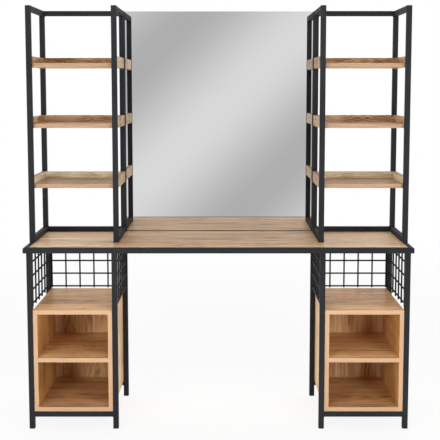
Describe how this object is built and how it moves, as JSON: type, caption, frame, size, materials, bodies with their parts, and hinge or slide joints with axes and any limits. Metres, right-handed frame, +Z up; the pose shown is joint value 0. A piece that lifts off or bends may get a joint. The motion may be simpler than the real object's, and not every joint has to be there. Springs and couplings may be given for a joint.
{
  "type": "salon station",
  "caption": "Free-standing salon styling station: long framed worktop on open cabinets with wire panels, open shelf towers on top and a tall mirror between them.",
  "frame": {"origin": "on the floor, under the middle of the whole station: the bottom centre of its bounding box", "axes": "+Z up, +X to the viewer's right as they stand in front of the mirror, +Y to the back, so that the mirror faces -Y"},
  "size_m": [1.8, 0.525, 1.975],
  "materials": {
    "frame": "fine matt black powder coat",
    "board": "oak decor with grain, light edge banding",
    "mirror": "silvered float glass",
    "backing": "black faced panel",
    "plug": "moulded black",
    "fastener": "zinc plated",
    "dowel": "bare beech"
  },
  "bodies": {
    "root": {"worktop_front_rail": "frame", "worktop_right_rail": "frame", "worktop_rear_rail": "frame", "worktop_left_rail": "frame", "worktop_board": "board", "worktop_bars": "frame", "left_outer_front_leg": "frame", "left_outer_rear_leg": "frame", "left_outer_mesh": "frame", "left_tower_outer_frame": "frame", "left_cabinet_outer_side": "board", "left_inner_front_leg": "frame", "left_inner_rear_leg": "frame", "left_inner_mesh": "frame", "left_tower_inner_frame": "frame", "left_cabinet_inner_side": "board", "left_rear_mesh": "frame", "left_foot_rails": "frame", "left_tower_rear_rails": "frame", "left_cabinet_top": "board", "left_cabinet_bottom": "board", "left_cabinet_shelf": "board", "left_cabinet_back": "board", "left_lower_tray": "board", "left_middle_tray": "board", "left_upper_tray": "board", "right_outer_front_leg": "frame", "right_outer_rear_leg": "frame", "right_outer_mesh": "frame", "right_tower_outer_frame": "frame", "right_cabinet_outer_side": "board", "right_inner_front_leg": "frame", "right_inner_rear_leg": "frame", "right_inner_mesh": "frame", "right_tower_inner_frame": "frame", "right_cabinet_inner_side": "board", "right_rear_mesh": "frame", "right_foot_rails": "frame", "right_tower_rear_rails": "frame", "right_cabinet_top": "board", "right_cabinet_bottom": "board", "right_cabinet_shelf": "board", "right_cabinet_back": "board", "right_lower_tray": "board", "right_middle_tray": "board", "right_upper_tray": "board", "leg_glides": "plug", "post_caps": "plug", "leg_inserts": "fastener", "leg_screws": "fastener", "tower_bolts": "fastener", "cabinet_screws": "fastener", "cabinet_dowels": "dowel", "tray_brackets": "frame", "tray_screws": "fastener", "mirror_glass": "mirror", "mirror_backing_board": "backing", "mirror_ledge": "frame", "mirror_spacers": "plug", "mirror_screws": "fastener"}
  },
  "joints": []
}
